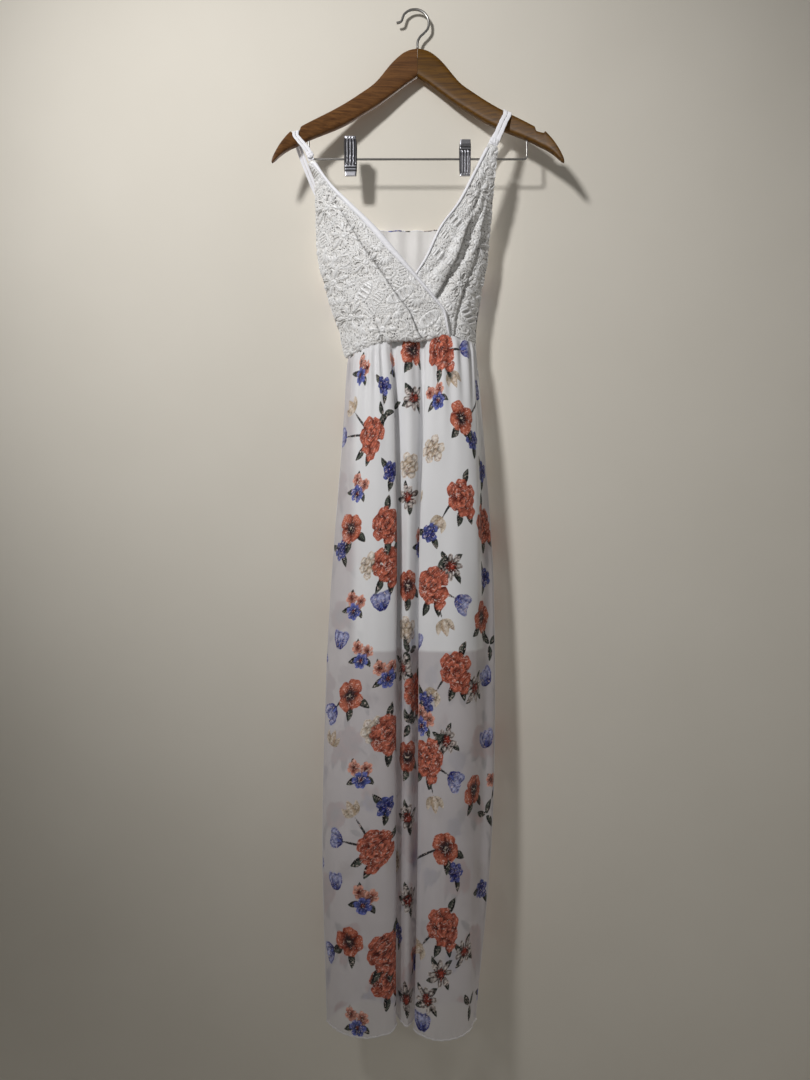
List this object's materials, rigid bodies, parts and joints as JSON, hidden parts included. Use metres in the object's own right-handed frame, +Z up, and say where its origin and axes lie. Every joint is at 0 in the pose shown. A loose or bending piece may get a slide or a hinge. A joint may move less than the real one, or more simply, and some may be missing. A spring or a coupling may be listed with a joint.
{
  "type": "maxi dress on a wooden clip hanger",
  "caption": "Sleeveless wrap-front maxi dress with a lace bodice and a floral chiffon skirt over a short slip, hung by its straps on a contoured wooden clip hanger",
  "frame": {"origin": "the point under the crown of the hanger's hook that bears on a nail or rod", "axes": "+Z up along the hanging dress, -Y out of its front, +X to the right as seen from the front; metres"},
  "size_m": [0.434, 0.1124, 1.5529],
  "materials": {
    "chiffon": "thin sheer off-white polyester chiffon with a scattered floral print",
    "slip": "plain white woven lining, smooth",
    "lace": "white corded floral lace on a fine net",
    "lining": "plain white lining",
    "binding": "white satin-faced binding and straps",
    "wood_dark": "varnished, redder half",
    "wood_light": "varnished, golden half",
    "wire": "plated steel wire",
    "clip": "plated pressed steel, ribbed"
  },
  "bodies": {
    "root": {"skirt_front": "chiffon", "skirt_back": "chiffon", "slip_front": "slip", "slip_back": "slip", "front_lining_left": "lining", "front_lining_right": "lining", "lace_left": "lace", "lace_right": "lace", "neck_binding_left": "binding", "neck_binding_right": "binding", "bodice_back": "chiffon", "strap_left_outer": "binding", "strap_left_inner": "binding", "strap_right_inner": "binding", "strap_right_outer": "binding", "hanger_arm_left": "wood_dark", "hanger_arm_right": "wood_light", "hanger_hook": "wire", "hanger_bar": "wire", "clip_left_front": "clip", "clip_left_back": "clip", "clip_right_front": "clip", "clip_right_back": "clip"}
  },
  "joints": []
}
